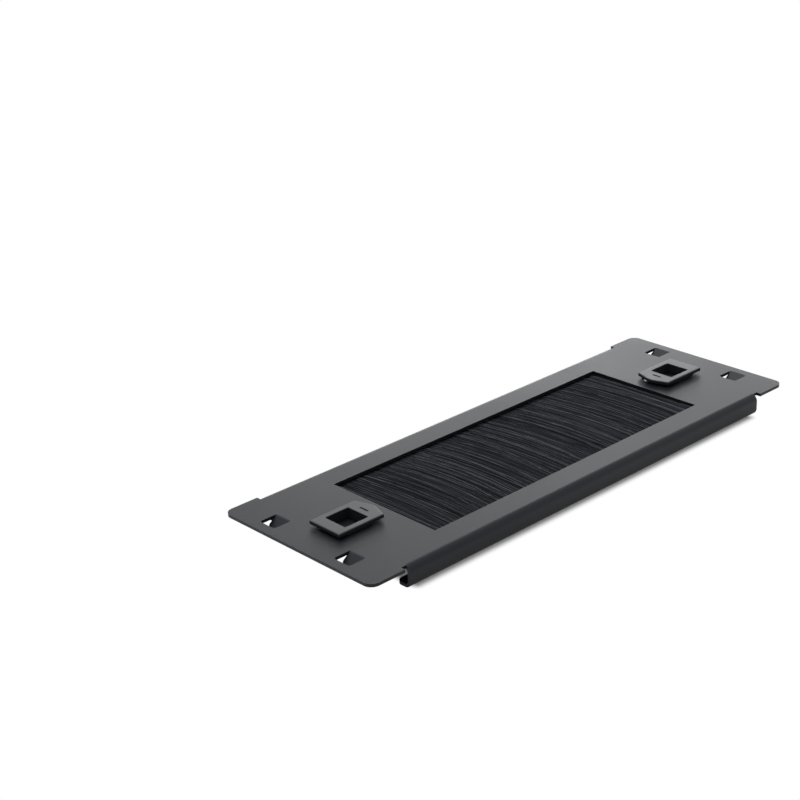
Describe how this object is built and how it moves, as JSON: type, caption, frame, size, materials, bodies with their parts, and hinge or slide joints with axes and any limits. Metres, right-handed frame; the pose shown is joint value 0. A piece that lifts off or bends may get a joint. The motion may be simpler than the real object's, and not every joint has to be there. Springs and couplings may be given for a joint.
{
  "type": "rack brush strip panel",
  "caption": "Folded black sheet-metal cable-entry panel for a 10-inch rack: a strip brush closes a wide window, and a sprung slide latch at each end grips the rack rail.",
  "frame": {"origin": "middle of the panel's outline, at the height of the lips' rear faces", "axes": "+X across the rack, +Y up the rack towards the brush holder, +Z out of the front face"},
  "size_m": [0.254, 0.0882, 0.0122],
  "materials": {
    "panel_coat": "satin black powder coat on steel sheet",
    "holder_coat": "black coated folded steel strip",
    "core_wire_steel": "plain drawn wire",
    "bristle_nylon": "fine black nylon filaments",
    "latch_plastic": "matt black moulded plastic",
    "spring_plastic": "smooth black moulded plastic strip"
  },
  "bodies": {
    "panel_body": {"panel": "panel_coat", "brush_holder": "holder_coat", "brush_core_wire": "core_wire_steel", "bristles": "bristle_nylon", "left_latch_spring": "spring_plastic", "right_latch_spring": "spring_plastic"},
    "left_latch_body": {"left_latch": "latch_plastic"},
    "right_latch_body": {"right_latch": "latch_plastic"}
  },
  "joints": [
    {"name": "left_latch_slide", "type": "slide", "parent": "panel_body", "child": "left_latch_body", "axis": [1, 0, 0], "range_m": [0, 0.0045], "stiffness_N_per_m": 800, "deforming": ["left_latch_spring"]},
    {"name": "right_latch_slide", "type": "slide", "parent": "panel_body", "child": "right_latch_body", "axis": [-1, 0, 0], "range_m": [0, 0.0045], "stiffness_N_per_m": 800, "deforming": ["right_latch_spring"]}
  ]
}
